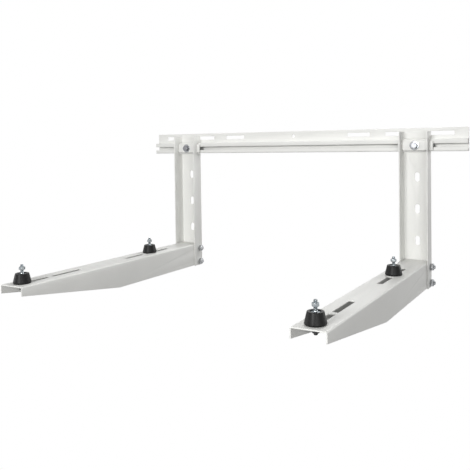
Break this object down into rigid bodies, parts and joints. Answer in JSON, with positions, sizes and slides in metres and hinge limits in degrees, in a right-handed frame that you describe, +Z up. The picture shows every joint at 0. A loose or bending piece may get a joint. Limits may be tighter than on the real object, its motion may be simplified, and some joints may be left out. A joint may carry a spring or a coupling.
{
  "type": "air conditioner outdoor unit bracket",
  "caption": "Wall bracket for an air conditioner's outdoor unit: tapered arms with rubber mounts, bolted into uprights that clamp onto a slotted wall rail.",
  "frame": {"origin": "middle of the wall rail's back face, which lies against the wall", "axes": "+X along the rail to the right as seen from the front, +Y into the wall, +Z up"},
  "size_m": [0.8, 0.5635, 0.3355],
  "materials": {
    "rail_coat": "fine satin powder coat, off-white",
    "upright_coat": "fine satin powder coat, off-white",
    "arm_coat": "fine satin powder coat, off-white",
    "clamp_coat": "fine satin powder coat, off-white",
    "zinc": "bright zinc plating",
    "mount_zinc": "bright zinc plating",
    "dark_steel": "dark bare steel",
    "rubber": "moulded black rubber, satin"
  },
  "bodies": {
    "root": {"wall_rail": "rail_coat", "left_upright": "upright_coat", "left_arm": "arm_coat", "left_clamp_plate": "clamp_coat", "left_clamp_bolt": "zinc", "left_clamp_washer": "zinc", "left_channel_nut": "dark_steel", "left_arm_bolt_outer_upper": "zinc", "left_arm_nut_outer_upper": "zinc", "left_arm_bolt_outer_lower": "zinc", "left_arm_nut_outer_lower": "zinc", "left_arm_bolt_inner_upper": "zinc", "left_arm_nut_inner_upper": "zinc", "left_arm_bolt_inner_lower": "zinc", "left_arm_nut_inner_lower": "zinc", "left_front_mount_rubber": "rubber", "left_front_mount_top_stud": "mount_zinc", "left_front_mount_top_nut": "mount_zinc", "left_front_mount_bottom_stud": "mount_zinc", "left_front_mount_bottom_nut": "mount_zinc", "left_rear_mount_rubber": "rubber", "left_rear_mount_top_stud": "mount_zinc", "left_rear_mount_top_nut": "mount_zinc", "left_rear_mount_bottom_stud": "mount_zinc", "left_rear_mount_bottom_nut": "mount_zinc", "right_upright": "upright_coat", "right_arm": "arm_coat", "right_clamp_plate": "clamp_coat", "right_clamp_bolt": "zinc", "right_clamp_washer": "zinc", "right_channel_nut": "dark_steel", "right_arm_bolt_outer_upper": "zinc", "right_arm_nut_outer_upper": "zinc", "right_arm_bolt_outer_lower": "zinc", "right_arm_nut_outer_lower": "zinc", "right_arm_bolt_inner_upper": "zinc", "right_arm_nut_inner_upper": "zinc", "right_arm_bolt_inner_lower": "zinc", "right_arm_nut_inner_lower": "zinc", "right_front_mount_rubber": "rubber", "right_front_mount_top_stud": "mount_zinc", "right_front_mount_top_nut": "mount_zinc", "right_front_mount_bottom_stud": "mount_zinc", "right_front_mount_bottom_nut": "mount_zinc", "right_rear_mount_rubber": "rubber", "right_rear_mount_top_stud": "mount_zinc", "right_rear_mount_top_nut": "mount_zinc", "right_rear_mount_bottom_stud": "mount_zinc", "right_rear_mount_bottom_nut": "mount_zinc"}
  },
  "joints": []
}
